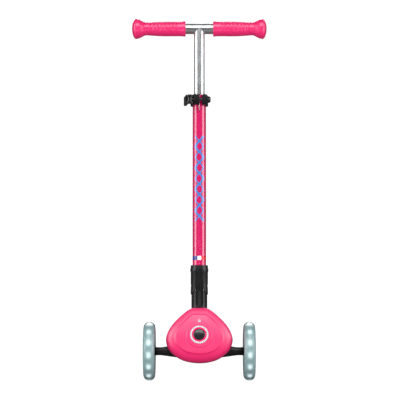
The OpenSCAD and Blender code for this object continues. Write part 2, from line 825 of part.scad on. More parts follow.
module rear_bearings() {
    color("silver") translate([0, rear_y, rear_z]) bearing_pair();
}

module rear_axle() {
    color([0.75, 0.76, 0.78]) translate([0, rear_y, rear_z]) {
        along_x(-fork_out, fork_out, axle_r);
        along_x(-fork_out - 4, -fork_out, axle_r + 3.5);
        translate([fork_out, 0, 0]) rotate([0, 90, 0]) cylinder(h = 5, r = axle_r + 3.5, $fn = 6);
        pair_x() ring_x(bearing_gap + bearing_w + gap, fork_in, axle_r, axle_r + 3);
    }
}

module brake_pivot_pin() {
    color([0.75, 0.76, 0.78]) translate([0, hinge_y, hinge_z]) {
        along_x(-fork_out, fork_out, hinge_r);
        along_x(-fork_out - 1.5, -fork_out, hinge_r + 1.5);
        along_x(fork_out, fork_out + 1.5, hinge_r + 1.5);
    }
}

module brake_spring() {
    color("silver") translate([-6, hinge_y, hinge_z]) rotate([0, 90, 0])
        coil(hinge_r + 1.2, 1.4, 12, 5);
}

// Curved plate over the rear wheel, with side ribs, a knuckle on the pin and a foot lip
fender_from = 24;
fender_to = 126;
lip_r = 2.5;
lip_z = tail_reach * 0.62;            // height of the lip above the rear axle
module fender_arc(x, r_in, r_out) {
    translate([-x, rear_y, rear_z]) rotate([90, 0, 90]) linear_extrude(2 * x)
        polygon(concat(
            [for (a = [fender_from:3:fender_to]) [r_out * cos(a), r_out * sin(a)]],
            [for (a = [fender_to:-3:fender_from]) [r_in * cos(a), r_in * sin(a)]]));
}
module brake_fender() {
    r_out = fender_in + fender_t;
    color([0.12, 0.12, 0.13])
        difference() {
            union() {
                fender_arc(fender_x, fender_in, r_out);
                difference() {
                    fender_arc(fender_x, fender_in - 5, r_out - 1);
                    fender_arc(fender_x - 2, fender_in - 6, r_out);
                }
                translate([0, hinge_y, hinge_z]) along_x(-fender_x, fender_x, knuckle_r);
                translate([-fender_x, 0, 0]) rotate([90, 0, 90]) linear_extrude(2 * fender_x)
                    polygon([[hinge_y - 1, hinge_z + 5], [hinge_y + 4.5, hinge_z - 1],
                             [rear_y + fender_in * cos(fender_to), rear_z + fender_in * sin(fender_to)],
                             [rear_y + r_out * cos(fender_to - 4), rear_z + r_out * sin(fender_to - 4)]]);
                translate([0, rear_y + tail_reach - lip_r, rear_z + lip_z])
                    along_x(-fender_x, fender_x, lip_r);
                translate([-fender_x, rear_y, rear_z]) rotate([90, 0, 90]) linear_extrude(2 * fender_x)
                    polygon([[r_out * cos(fender_from + 12), r_out * sin(fender_from + 12)],
                             [fender_in * cos(fender_from), fender_in * sin(fender_from)],
                             [tail_reach - lip_r, lip_z - lip_r],
                             [tail_reach - lip_r, lip_z + lip_r]]);
            }
            translate([0, hinge_y, hinge_z]) along_x(-fender_x - cut, fender_x + cut, hinge_r + run);
            translate([0, hinge_y, hinge_z]) along_x(-7.5, 7.5, hinge_r + 3.2);
            translate([0, hinge_y, hinge_z]) block([-7.5, 7.5], [-8, 5.5], [-8, 8]);
            translate([0, rear_y, 0]) block([-30, 30], [tail_reach, tail_reach + 30], [0, 200]);
        }
}

pad_from = 38;
pad_to = 66;
module brake_pad() {
    color([0.3, 0.3, 0.32])
        translate([-9, rear_y, rear_z]) rotate([90, 0, 90]) linear_extrude(18)
            polygon(concat(
                [for (a = [pad_from:4:pad_to]) [fender_in * cos(a), fender_in * sin(a)]],
                [for (a = [pad_to:-4:pad_from])
                    [(fender_in - pad_t) * cos(a), (fender_in - pad_t) * sin(a)]]));
}

saddle_gap = 0.5;    // between the socket's cheeks and the saddle in front of them
module fold_base() {
    color([0.1, 0.1, 0.11])
        difference() {
            on_bar() {
                block([-flange_w / 2, flange_w / 2], [-flange_w / 2, flange_w / 2],
                      [flange_s, flange_s + flange_t]);
                difference() {
                    translate([0, 0, flange_s]) cylinder(h = shoulder_s - flange_s, r = neck_r);
                    block([-tongue_w / 2, tongue_w / 2], [-neck_r - cut, -neck_r + 5],
                          [flange_s + 30, shoulder_s + cut]);
                }
                block([-tongue_w / 2, tongue_w / 2], [-tongue_r, tongue_r], [shoulder_s - 1, fold_s]);
                translate([0, 0, fold_s]) along_x(-tongue_w / 2, tongue_w / 2, tongue_r);
                block([-3, 3], [-tongue_r - 2.5, 0], [flange_s + 30, fold_s - 6]);
                difference() {
                    translate([0, 0, shoulder_s - 1]) cylinder(h = cheek_r, r = neck_r);
                    block([-neck_r - cut, neck_r + cut], [0, neck_r + cut],
                          [shoulder_s - 1 - cut, fold_s + cut]);
                    block([-tongue_w / 2, tongue_w / 2], [-neck_r - cut, cut],
                          [shoulder_s - 1 - cut, fold_s + cut]);
                    translate([0, 0, fold_s]) along_x(-neck_r - cut, neck_r + cut, cheek_r + saddle_gap);
                }
            }
            on_bar(fold_s) along_x(-tongue_w, tongue_w, fold_pin_d / 2);
            on_bar(fold_s + tongue_r - 1.5) cylinder(h = 4, r = plunger_r + 0.3);
            on_bar(flange_s - cut)
                for (x = [-flange_hole, flange_hole], y = [-flange_hole, flange_hole])
                    translate([x, y, 0]) cylinder(h = flange_t + 2 * cut, r = bolt_r);
        }
}

module fold_pivot_pin() {
    color([0.75, 0.76, 0.78]) on_bar(fold_s) {
        along_x(-socket_r + pin_head_t, socket_r - pin_head_t, fold_pin_d / 2);
        pair_x() along_x(socket_r - pin_head_t, socket_r - 0.2, pin_head_r - 0.5);
    }
}

module frame_bolts() {
    color([0.75, 0.76, 0.78]) {
        on_bar(flange_s + flange_t)
            for (x = [-flange_hole, flange_hole], y = [-flange_hole, flange_hole])
                translate([x, y, 0]) {
                    translate([0, 0, -flange_t - 8]) cylinder(h = flange_t + 8, r = bolt_r);
                    cylinder(h = 3.5, r = bolt_r + 1.8);
                }
        translate([0, front_y, front_z])
            for (x = [-deck_bolt_x, deck_bolt_x], y = deck_bolt_y)
                translate([x, y, tongue_z[0]]) {
                    cylinder(h = tongue_z[1] - tongue_z[0] + 14, r = deck_bolt_r);
                    translate([0, 0, -3]) cylinder(h = 3, r = deck_bolt_r + 2.5);
                }
    }
}

module fold_socket() {
    color([0.1, 0.1, 0.11]) on_bar()
        difference() {
            union() {
                intersection() {
                    translate([0, 0, fold_s - cheek_r]) cylinder(h = cheek_r + 1, r = socket_r);
                    translate([0, 0, fold_s]) along_x(-socket_r, socket_r, cheek_r);
                }
                translate([0, 0, fold_s]) cylinder(h = socket_l, r = socket_r);
                translate([0, 0, fold_s + 30.5]) cylinder(h = 7, r = socket_r + 0.8);
            }
            block([-tongue_w / 2 - gap, tongue_w / 2 + gap], [-tongue_r - 0.5, socket_r + cut],
                  [fold_s - cheek_r - cut, slot_top]);
            block([-tongue_w / 2 - gap, tongue_w / 2 + gap], [-socket_r - cut, 0],
                  [fold_s - cheek_r - cut, fold_s - 5]);
            translate([0, 0, fold_s]) along_x(-socket_r - cut, socket_r + cut, fold_pin_d / 2 + run);
            translate([0, 0, fold_s])
                pair_x() along_x(socket_r - pin_head_t - gap, socket_r + cut, pin_head_r);
            translate([0, 0, tube_low]) cylinder(h = 80, r = outer_r);
            translate([0, 0, slot_top - cut]) cylinder(h = 12, r = plunger_r + run);
            block([-7.2, 7.2], [0, socket_r + 5], [button_low - 0.2, button_high + 0.2]);
        }
}

module outer_tube() {
    color([0.93, 0.15, 0.5]) on_bar()
        difference() {
            translate([0, 0, tube_low]) cylinder(h = clamp_top_s - tube_low, r = outer_r);
            translate([0, 0, tube_low - cut]) cylinder(h = clamp_top_s - tube_low + 2 * cut, r = inner_r);
            block([-7.2, 7.2], [0, outer_r + cut], [button_low - 0.2, button_high + 0.2]);
            block([-1, 1], [-outer_r - cut, -inner_r + cut], [clamp_low_s - 12, clamp_top_s + cut]);
        }
}

module tricolour_band() {
    color([0.9, 0.9, 0.92]) on_bar()
        difference() {
            translate([0, 0, band_s[0]]) cylinder(h = band_s[1] - band_s[0], r = outer_r + 0.15);
            translate([0, 0, band_s[0] - cut]) cylinder(h = 20, r = outer_r);
        }
}

bush_l = 30;
module guide_bush() {
    color([0.15, 0.15, 0.16]) on_bar()
        difference() {
            translate([0, 0, clamp_top_s - bush_l]) cylinder(h = bush_l, r = inner_r);
            translate([0, 0, clamp_top_s - bush_l - cut]) cylinder(h = bush_l + 2 * cut, r = post_r + run);
        }
}

module plunger_seat() {
    color([0.15, 0.15, 0.16]) on_bar(seat_s) cylinder(h = 6, r = inner_r);
}

module fold_plunger() {
    color("silver") on_bar() {
        translate([0, 0, plunger_low]) cylinder(h = plunger_flange - plunger_low, r = plunger_r);
        translate([0, 0, plunger_flange]) cylinder(h = 3, r = 9);
    }
}

module fold_spring() {
    color("silver") on_bar(plunger_flange + 3.1)
        coil(6, 1.4, seat_s - plunger_flange - 3.2, 4);
}

module fold_button() {
    color([0.2, 0.2, 0.21]) on_bar() {
        block([-7, 7], [outer_r + release_travel + 0.4, socket_r + 2.5], [button_low, button_high]);
        pair_x() block([plunger_r + 0.6, 7], [4, outer_r + 2.5], [button_low + 1, plunger_flange - 0.5]);
    }
}

module clamp_collar() {
    color([0.1, 0.1, 0.11]) on_clamp()
        difference() {
            union() {
                translate([0, 0, -clamp_h / 2]) cylinder(h = clamp_h, r = clamp_r);
                difference() {
                    block([ear_left, ear_right], ear_y, [-clamp_h / 2, clamp_h / 2]);
                    translate([ear_left - cut, ear_y[0], clamp_h / 2]) rotate([45, 0, 0])
                        translate([0, -3, -3]) cube([40, 6, 6]);
                    translate([ear_left - cut, ear_y[0], -clamp_h / 2]) rotate([45, 0, 0])
                        translate([0, -3, -3]) cube([40, 6, 6]);
                }
            }
            translate([0, 0, -clamp_h / 2 - cut]) cylinder(h = clamp_h + 2 * cut, r = outer_r);
            block([-ear_gap, ear_gap], [ear_y[0] - cut, 0], [-clamp_h, clamp_h]);
            translate([0, bolt_y, 0]) along_x(ear_left - cut, ear_right + cut, 3);
        }
}

module clamp_bolt() {
    color([0.75, 0.76, 0.78]) on_clamp() translate([0, bolt_y, 0])
        difference() {
            union() {
                along_x(cam_x, ear_right + 6.5, 3);
                translate([cam_x, 0, -eye_half]) cylinder(h = 2 * eye_half, r = 5);
            }
            translate([cam_x, 0, -20]) cylinder(h = 40, r = lever_pin_r + run);
        }
}

module clamp_nut() {
    color([0.12, 0.12, 0.13]) on_clamp() translate([0, bolt_y, 0])
        difference() {
            translate([ear_right, 0, 0]) rotate([0, 90, 0]) cylinder(h = 7.5, r1 = 8, r2 = 6);
            along_x(ear_right - cut, ear_right + 6.5, 3);
        }
}

lever_len = 40;
lever_t = 6;
module clamp_lever() {
    color([0.1, 0.1, 0.11]) on_clamp() translate([cam_x, bolt_y, 0])
        difference() {
            union() {
                translate([0, 0, -cam_half]) cylinder(h = 2 * cam_half, r = cam_r);
                block([-cam_r, -cam_r + lever_t], [0, lever_len - 5], [-cam_half, cam_half]);
                translate([-cam_r + lever_t / 2, lever_len - 5, -cam_half])
                    cylinder(h = 2 * cam_half, r = lever_t / 2);
            }
            difference() {
                translate([0, 0, -eye_half - gap]) cylinder(h = 2 * eye_half + 2 * gap, r = cam_r + cut);
                block([-cam_r, -cam_r + 2.4], [2, 40], [-10, 10]);
            }
            translate([0, 0, -20]) cylinder(h = 40, r = lever_pin_r);
        }
}

module lever_pin() {
    color([0.75, 0.76, 0.78]) on_clamp() translate([cam_x, bolt_y, -cam_half])
        cylinder(h = 2 * cam_half, r = lever_pin_r);
}

module inner_post() {
    color([0.8, 0.81, 0.83])
        difference() {
            on_bar(post_low) cylinder(h = handlebar_s - post_low, r = post_r);
            on_bar(post_low - cut)
                cylinder(h = handlebar_s - post_low + 2 * cut, r = post_r - inner_post_wall);
            on_bar(handlebar_s) along_x(-40, 40, crossbar_r);
        }
}

module post_foot() {
    color([0.15, 0.15, 0.16]) on_bar(post_low - 8) {
        cylinder(h = 8, r = inner_r - run);
        translate([0, 0, 8]) cylinder(h = 12, r = post_r - inner_post_wall);
    }
}

module crossbar() {
    color([0.8, 0.81, 0.83]) on_bar(handlebar_s)
        ring_x(-handlebar_w / 2 + 4, handlebar_w / 2 - 4, crossbar_r - 1.6, crossbar_r);
}

module grip_left() { mirror([1, 0, 0]) grip(); }
module grip_right() { grip(); }

deck_shell();
grip_pad();
nose_cover();
rear_cover();
lock_housing();
lock_spring();
steering_bracket();
fold_base();
fold_pivot_pin();
frame_bolts();
cover_screws();
kingpins();
centring_springs();
rear_axle();
brake_pivot_pin();
brake_spring();
lock_button();
lock_pin();
arm_left();
arm_bushes_left();
stub_axle_left();
arm_right();
arm_bushes_right();
stub_axle_right();
tie_bar();
tie_pins();
tyre_left();
hub_left();
bearings_left();
led_ring_left();
hub_cap_left();
tyre_right();
hub_right();
bearings_right();
led_ring_right();
hub_cap_right();
rear_tyre();
rear_hub();
rear_bearings();
brake_fender();
brake_pad();
fold_socket();
outer_tube();
tricolour_band();
guide_bush();
plunger_seat();
clamp_collar();
clamp_bolt();
clamp_nut();
clamp_lever();
lever_pin();
fold_button();
fold_plunger();
fold_spring();
inner_post();
crossbar();
post_foot();
grip_left();
grip_right();
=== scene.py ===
# Child's three-wheeled kick scooter, built up in the order it goes together.
import json
import math
import bmesh
import bpy
from mathutils import Matrix, Vector


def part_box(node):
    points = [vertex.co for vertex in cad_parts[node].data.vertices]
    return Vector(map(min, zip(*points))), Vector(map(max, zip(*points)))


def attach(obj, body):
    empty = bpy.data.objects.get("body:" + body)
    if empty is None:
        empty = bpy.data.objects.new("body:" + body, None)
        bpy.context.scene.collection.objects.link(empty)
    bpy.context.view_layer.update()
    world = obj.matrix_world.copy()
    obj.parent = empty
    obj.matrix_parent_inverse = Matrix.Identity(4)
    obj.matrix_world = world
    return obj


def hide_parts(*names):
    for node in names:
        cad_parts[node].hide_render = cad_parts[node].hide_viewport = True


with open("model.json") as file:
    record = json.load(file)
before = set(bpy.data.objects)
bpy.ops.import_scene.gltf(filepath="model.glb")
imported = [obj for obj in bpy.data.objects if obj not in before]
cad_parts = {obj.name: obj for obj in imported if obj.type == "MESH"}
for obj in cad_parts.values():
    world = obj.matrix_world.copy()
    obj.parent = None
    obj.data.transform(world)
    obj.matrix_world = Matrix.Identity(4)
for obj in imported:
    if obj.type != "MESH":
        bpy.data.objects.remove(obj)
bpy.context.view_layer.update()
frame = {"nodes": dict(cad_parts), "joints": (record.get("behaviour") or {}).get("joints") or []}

# ---------- camera, light and floor ----------
# A white studio sweep with a tall soft light on each side, a large one above in front, one
# behind and a low fill in front. A dark card in front shows only in reflections, and the
# floor is clear from below. The camera stands in front and looks slightly down.
scene = bpy.context.scene
scene.view_settings.view_transform = "Standard"
scene.view_settings.look = "None"

camera_data = bpy.data.cameras.new("studio_camera")
camera_data.lens = 122.9
camera_data.sensor_width = 36
camera_data.clip_end = 30
camera = bpy.data.objects.new("studio_camera", camera_data)
camera.location = (0.0014, -3.0143, 0.5441)
camera.rotation_euler = (math.radians(86.5), 0, 0)
scene.collection.objects.link(camera)
scene.camera = camera

world = bpy.data.worlds.new("studio")
world.use_nodes = True
sky = world.node_tree.nodes["Background"]
sky.inputs["Color"].default_value = (1, 1, 1, 1)
ray = world.node_tree.nodes.new("ShaderNodeLightPath")
strength = world.node_tree.nodes.new("ShaderNodeMapRange")
world.node_tree.links.new(ray.outputs["Is Camera Ray"], strength.inputs["Value"])
strength.inputs["To Min"].default_value = 0.1
strength.inputs["To Max"].default_value = 1.05
world.node_tree.links.new(strength.outputs["Result"], sky.inputs["Strength"])
scene.world = world


def soft_light(name, place, target, width, height, power, mirrored=True):
    data = bpy.data.lights.new(name, "AREA")
    data.shape = "RECTANGLE"
    data.size, data.size_y, data.energy = width, height, power
    lamp = bpy.data.objects.new(name, data)
    lamp.location = place
    lamp.rotation_euler = (Vector(target) - Vector(place)).to_track_quat("-Z", "Y").to_euler()
    lamp.visible_glossy = mirrored
    scene.collection.objects.link(lamp)


soft_light("side_light_left", (-1.6, -0.7, 0.8), (0, -0.1, 0.4), 0.9, 1.8, 20)
soft_light("side_light_right", (1.6, -0.7, 0.8), (0, -0.1, 0.4), 0.9, 1.8, 20)
soft_light("top_light", (0, -1.5, 2.3), (0, -0.15, 0.2), 2.2, 1.3, 30)
soft_light("back_light", (0, 2.3, 1.5), (0, 0, 0.3), 2.0, 1.0, 26)
soft_light("front_fill", (0, -1.9, 0.22), (0, -0.15, 0.3), 1.6, 0.4, 25, mirrored=False)


def stage_card(name, corners, colour, seen=True):
    bm = bmesh.new()
    bm.faces.new([bm.verts.new(corner) for corner in corners])
    mesh = bpy.data.meshes.new(name)
    bm.to_mesh(mesh)
    card = bpy.data.objects.new(name, mesh)
    material = bpy.data.materials.new(name)
    material.use_nodes = True
    shader = material.node_tree.nodes["Principled BSDF"]
    shader.inputs["Base Color"].default_value = (*colour, 1)
    shader.inputs["Roughness"].default_value = 0.95
    shader.inputs["Specular IOR Level"].default_value = 0.0
    sight = material.node_tree.nodes.new("ShaderNodeLightPath")
    material.node_tree.links.new(sight.outputs["Is Camera Ray"], shader.inputs["Emission Color"])
    shader.inputs["Emission Strength"].default_value = 1.0
    geometry = material.node_tree.nodes.new("ShaderNodeNewGeometry")
    front = material.node_tree.nodes.new("ShaderNodeMath")
    front.operation = "SUBTRACT"
    front.inputs[0].default_value = 1.0
    material.node_tree.links.new(geometry.outputs["Backfacing"], front.inputs[1])
    material.node_tree.links.new(front.outputs[0], shader.inputs["Alpha"])
    mesh.materials.append(material)
    scene.collection.objects.link(card)
    card.visible_camera = seen


stage_card("floor", [(-9, -9, 0), (9, -9, 0), (9, 9, 0), (-9, 9, 0)], (0.16, 0.16, 0.16))
stage_card("dark_card", [(-0.9, -3.4, 0.05), (0.9, -3.4, 0.05), (0.9, -3.4, 2.0), (-0.9, -3.4, 2.0)],
           (0.02, 0.02, 0.02), seen=False)

# ---------- standing board ----------
# A ribbed tray moulded in pink polypropylene, with a raised neck for the bracket's bolts at
# the front and two fork sides for the rear wheel. Its skin has a fine spark-eroded texture.


class Wire:
    """A value in a material that Python's own operators work on."""

    def __init__(self, finish, socket):
        self.finish, self.socket = finish, socket

    def maths(self, operation, *others):
        inputs = dict(enumerate((self,) + others))
        return Wire(self.finish, self.finish.node("Math", inputs, operation=operation).outputs[0])

    def __add__(self, other): return self.maths("ADD", other)
    def __sub__(self, other): return self.maths("SUBTRACT", other)
    def __mul__(self, other): return self.maths("MULTIPLY", other)
    def __truediv__(self, other): return self.maths("DIVIDE", other)
    def __rsub__(self, other): return self * -1 + other
    def __neg__(self): return self * -1
    def __abs__(self): return self.maths("ABSOLUTE")
    def __pow__(self, other): return self.maths("POWER", other)
    def __lt__(self, other): return self.maths("LESS_THAN", other)
    def __gt__(self, other): return self.maths("GREATER_THAN", other)

    def least(self, other): return self.maths("MINIMUM", other)
    def most(self, other): return self.maths("MAXIMUM", other)
    def wave(self, pitch): return (self * (2 * math.pi / pitch)).maths("COSINE")
    def turn(self, other): return self.maths("ARCTAN2", other)

    def fade(self, low, high):
        ramp = self.finish.node("MapRange", {"Value": self, "From Min": low, "From Max": high},
                                interpolation_type="SMOOTHSTEP")
        return Wire(self.finish, ramp.outputs[0])


class Finish:
    """A material: its principled shader and the nodes that feed it."""

    def __init__(self, name, colour, roughness, **settings):
        self.material = bpy.data.materials.new(name)
        self.material.use_nodes = True
        self.tree = self.material.node_tree
        self.shader = self.tree.nodes["Principled BSDF"]
        self.colour = (*colour, 1)
        self.shader.inputs["Base Color"].default_value = self.colour
        self.shader.inputs["Roughness"].default_value = roughness
        for setting, value in settings.items():
            socket = setting.replace("_", " ").title().replace("Ior", "IOR")
            self.shader.inputs[socket].default_value = value

    def node(self, kind, inputs=None, **settings):
        made = self.tree.nodes.new("ShaderNode" + kind)
        for setting, value in settings.items():
            setattr(made, setting, value)
        for socket, value in (inputs or {}).items():
            self.feed(made.inputs[socket], value)
        return made

    def feed(self, socket, value):
        if isinstance(value, Wire):
            value = value.socket
        if isinstance(value, bpy.types.NodeSocket):
            self.tree.links.new(value, socket)
        else:
            socket.default_value = value

    def place(self, origin=(0, 0, 0), tilt=0):
        """The point on the surface, measured from an origin and turned back by a tilt about x."""
        if not hasattr(self, "coordinates"):
            self.coordinates = self.node("TexCoord")
        return self.node("Mapping", {"Vector": self.coordinates.outputs["Object"], "Location": origin,
                                     "Rotation": (tilt, 0, 0)}, vector_type="TEXTURE").outputs[0]

    def along(self, vector):
        split = self.node("SeparateXYZ", {0: vector})
        return [Wire(self, socket) for socket in split.outputs]

    def noise(self, size, detail=3, vector=None):
        made = self.node("TexNoise", {"Vector": vector or self.place(), "Scale": 1 / size, "Detail": detail})
        return Wire(self, made.outputs[0])

    def mix(self, factor, first, second):
        made = self.node("Mix", {0: factor, 6: first, 7: second}, data_type="RGBA")
        return made.outputs[2]

    def bump(self, height, depth):
        """Adds a height in units of depth, in metres, over the bumps that are already there."""
        inputs = {"Height": height, "Distance": depth, "Strength": 1.0}
        last = self.shader.inputs["Normal"]
        if last.is_linked:
            inputs["Normal"] = last.links[0].from_socket
        self.feed(last, self.node("Bump", inputs).outputs[0])

    def tint(self, factor, colour):
        """Lays a colour over the base colour where the factor is 1."""
        base = self.shader.inputs["Base Color"]
        first = base.links[0].from_socket if base.is_linked else self.colour
        self.feed(base, self.mix(factor, first, (*colour, 1)))

    def gloss(self, value):
        self.feed(self.shader.inputs["Roughness"], value)


def moulded(name, colour, roughness, grain=0.0006, depth=0.00004, worn=0.05, **settings):
    """Moulded plastic: fine skin grain, faint cloudiness in its gloss and a few lighter scuffs."""
    finish = Finish(name, colour, roughness, **settings)
    cloud = finish.noise(0.035)
    finish.gloss(cloud.fade(0.3, 0.7) * (roughness * 0.35) + roughness * 0.82)
    finish.tint(cloud.fade(0.35, 0.8) * 0.10, [min(1, c * 1.25 + 0.02) for c in colour])
    finish.tint(finish.noise(0.004, 6).fade(0.66, 0.74) * worn, (0.75, 0.72, 0.72))
    finish.bump(finish.noise(grain, 2), depth)
    return finish


def softened(node, width):
    """A copy of a CAD node as one clean mesh, with its moulded edges rounded."""
    bm = bmesh.new()
    bm.from_mesh(frame["nodes"][node].data)
    bmesh.ops.remove_doubles(bm, verts=bm.verts, dist=0.00001)
    bmesh.ops.dissolve_limit(bm, angle_limit=math.radians(1.5), verts=bm.verts, edges=bm.edges,
                             delimit={"NORMAL"})
    sharp = [e for e in bm.edges if len(e.link_faces) == 2
             and e.calc_face_angle(0) > math.radians(32)]
    bmesh.ops.bevel(bm, geom=sharp, offset=width, offset_type="OFFSET", affect="EDGES",
                    segments=2, profile=0.5, material=-1, clamp_overlap=True)
    return bm


def put(name, bm, body, finish, slot, *stands_for, crease=30):
    """Turns a finished bmesh into a piece that rides on a body and stands for CAD nodes."""
    mesh = bpy.data.meshes.new(name)
    bm.to_mesh(mesh)
    bm.free()
    mesh.materials.append(finish.material)
    mesh.shade_smooth()
    mesh.set_sharp_from_angle(angle=math.radians(crease))
    piece = bpy.data.objects.new(name, mesh)
    scene.collection.objects.link(piece)
    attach(piece, body)
    if stands_for:
        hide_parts(*stands_for)
    return piece


def dress(finish, *nodes):
    """Gives CAD nodes, which stay as they are, a finish."""
    for node in nodes:
        mesh = frame["nodes"][node].data
        mesh.materials.clear()
        mesh.materials.append(finish.material)


hot_pink = (0.73, 0.003, 0.12)
board_pink = moulded("board_pink", hot_pink, 0.42, coat_weight=0.3, coat_roughness=0.3,
                     specular_ior_level=0.8)
put("standing_board", softened("deck_shell", 0.0011), "chassis", board_pink, "pink_shell", "deck_shell")

# ---------- rubber tread ----------
# A mat of black rubber bonded to the board. Staggered rows of raised pills on it grip the
# shoe.
tread = moulded("tread_rubber", (0.022, 0.022, 0.024), 0.62, grain=0.0004, worn=0.08)
x, y, z = tread.along(tread.place())
pill_pitch_x, pill_pitch_y = 0.010, 0.016
pill_straight = 0.0038
row = (y / pill_pitch_y).maths("FLOOR")
shift = (row * 0.5).maths("FRACT") * pill_pitch_x
across = ((x + shift) / pill_pitch_x).maths("FRACT") - 0.5
down = (y / pill_pitch_y).maths("FRACT") - 0.5
reach = ((abs(down) * pill_pitch_y - pill_straight).most(0) ** 2 + (across * pill_pitch_x) ** 2) ** 0.5
pill = 1 - reach.fade(0.0022, 0.0030)
tread.bump(pill, 0.0009)
tread.tint(pill * 0.35, (0.07, 0.07, 0.075))
put("tread_mat", softened("grip_pad", 0.0007), "chassis", tread, "black_rubber", "grip_pad")

# ---------- steering gear ----------
# A cast bracket bolted to the board, two leaning kingpins, a tie bar and two springs that
# bring the arms back to straight. It is as-cast aluminium and zinc-plated steel.


def metal(name, colour, roughness, grain, tilt=0, stretch=1.0, tarnish=0.25, depth=0.00003):
    """Bare or plated metal: uneven gloss, faint tarnish and a grain drawn out along one axis."""
    finish = Finish(name, colour, roughness, metallic=1.0)
    along = finish.node("Mapping", {"Vector": finish.place(tilt=tilt), "Scale": (1, 1, stretch)},
                        vector_type="POINT").outputs[0]
    cloud = finish.noise(0.02)
    streaks = finish.noise(grain, 4, along)
    finish.gloss(cloud.fade(0.3, 0.7) * 0.08 + streaks * 0.12 + (roughness - 0.1))
    finish.tint(cloud.fade(0.45, 0.8) * tarnish, [c * 0.7 for c in colour])
    finish.bump(streaks, depth)
    return finish


cast = metal("cast_aluminium", (0.42, 0.43, 0.45), 0.52, 0.0012)
cast.bump(cast.noise(0.0016, 4), 0.00018)
plated = metal("zinc_plate", (0.62, 0.63, 0.66), 0.3, 0.0008)
wire = metal("spring_wire", (0.42, 0.42, 0.44), 0.32, 0.0006)
acetal = moulded("acetal", (0.72, 0.69, 0.60), 0.4)
dress(cast, "steering_bracket", "tie_bar")
dress(plated, "kingpins", "tie_pins", "frame_bolts", "cover_screws", "stub_axle_left",
      "stub_axle_right", "bearings_left", "bearings_right", "lock_pin")
dress(wire, "lock_spring", "centring_springs")
dress(acetal, "arm_bushes_left", "arm_bushes_right")

# ---------- arms ----------
# Two arms moulded in black glass-filled nylon carry the stub axles out to the wheels and
# turn on the leaning kingpins.
nylon = moulded("black_nylon", (0.006, 0.006, 0.007), 0.34, grain=0.0008, depth=0.00003,
                specular_ior_level=0.45)
for side in ("left", "right"):
    put("steering_arm_" + side, softened("arm_" + side, 0.0010), side + "_arm", nylon, "black_arms",
        "arm_" + side)

# ---------- nose covers ----------
# A domed cover in front and a deeper one behind, moulded in the board's pink and held by two
# screws. The front one has a raised shield with a fine step round it and a ring at the button.
joint = {j["name"]: j for j in frame["joints"]}
axle = Vector((0, *joint["spin_left"]["pos_m"][1:]))
rake = math.atan2(joint["handlebar_height"]["axis"][1], joint["handlebar_height"]["axis"][2])
cover_lean = 16
cover_turn = math.radians(90 - cover_lean)
cover_middle = (0, axle.y - 0.0242, 0.0995)
cover_plane = Matrix.Translation(cover_middle) @ Matrix.Rotation(cover_turn, 4, "X")
t_bar = Matrix.Translation(axle) @ Matrix.Rotation(-rake, 4, "X")
cover_width, drawn_width = 0.136, 0.1384
cover_wide = cover_width / drawn_width
cover_corners = [Vector((px * cover_wide, py)) for px, py in (
    (0, 0.054), (0.0175, 0.053), (0.0348, 0.041), (0.0539, 0.0224), (0.066, 0.0033),
    (0.0692, -0.0151), (0.0603, -0.0356), (0.035, -0.053), (0, -0.059))]
cover_bulge, front_fullness, bulge_drop, front_wall = 0.0215, 2.3, 4, 0.0027
rear_depth, rear_fullness, rear_wall, rear_cut_z = 0.066, 4, 0.003, 0.088
button_drop, button_hole = 0.0032, 0.01895


def corner(i):
    last = len(cover_corners) - 1
    if 0 <= i <= last:
        return cover_corners[i]
    mirrored = cover_corners[-i if i < 0 else 2 * last - i]
    return Vector((-mirrored.x, mirrored.y))


def rim_point(i, t):
    """A point on the smooth curve through the corners, between corner i and the next."""
    a, b, c, d = (corner(i + k) for k in (-1, 0, 1, 2))
    return 0.5 * (2 * b + (c - a) * t + (2 * a - 5 * b + 4 * c - d) * t * t
                  + (3 * b - a - 3 * c + d) * t ** 3)


half_rim = [rim_point(i, k / 8) for i in range(len(cover_corners) - 1) for k in range(8)]
cover_rim = half_rim + [cover_corners[-1]] + [Vector((-p.x, p.y)) for p in half_rim[:0:-1]]


def smooth(low, high, value):
    t = min(1, max(0, (value - low) / (high - low)))
    return t * t * (3 - 2 * t)


def rim_reach(point):
    """How far the rim is from the cover's middle, in the direction of a point."""
    angle = math.atan2(point.x, point.y) % (2 * math.pi)
    angles = [math.atan2(p.x, p.y) % (2 * math.pi) for p in cover_rim]
    for k, low in enumerate(angles):
        high = angles[k + 1] if k + 1 < len(angles) else 2 * math.pi
        if low <= angle <= high:
            share = (angle - low) / (high - low) if high > low else 0
            return cover_rim[k].length * (1 - share) + cover_rim[(k + 1) % len(cover_rim)].length * share
    return cover_rim[0].length


def rounded(depth, fullness, share):
    """The height of a rounded dome at a share of the way from its middle to its rim."""
    return depth * max(0, 1 - share ** fullness) ** (1 / fullness)


def dome(depth, fullness, shares, middle, hole, relief):
    """A rim extruded inwards ring by ring over a rounded height, to a round hole or a point."""
    bm = bmesh.new()
    reach = bm.verts.layers.float.new("reach")
    ring = [bm.verts.new((p.x, p.y, 0)) for p in cover_rim]
    for v in ring:
        v[reach] = (v.co.xy - middle).length
    edges = [bm.edges.new((ring[i - 1], ring[i])) for i in range(len(ring))]
    for q in shares:
        made = bmesh.ops.extrude_edge_only(bm, edges=edges)["geom"]
        fresh = [g for g in made if isinstance(g, bmesh.types.BMVert)]
        edges = [g for g in made if isinstance(g, bmesh.types.BMEdge) and g.is_boundary]
        for v in fresh:
            way = (v.co.xy - middle).normalized()
            length = v[reach] * q
            if hole:
                open_r = hole + (q - shares[-1]) * v[reach]
                length += (open_r - length) * smooth(0.62, shares[-1], q)
            flat = middle + way * length
            share = min(1, flat.length / rim_reach(flat))
            v.co = (flat.x, flat.y, rounded(depth, fullness, share) + relief(flat, share))
    if not hole:
        bmesh.ops.contextual_create(bm, geom=edges)
    return bm


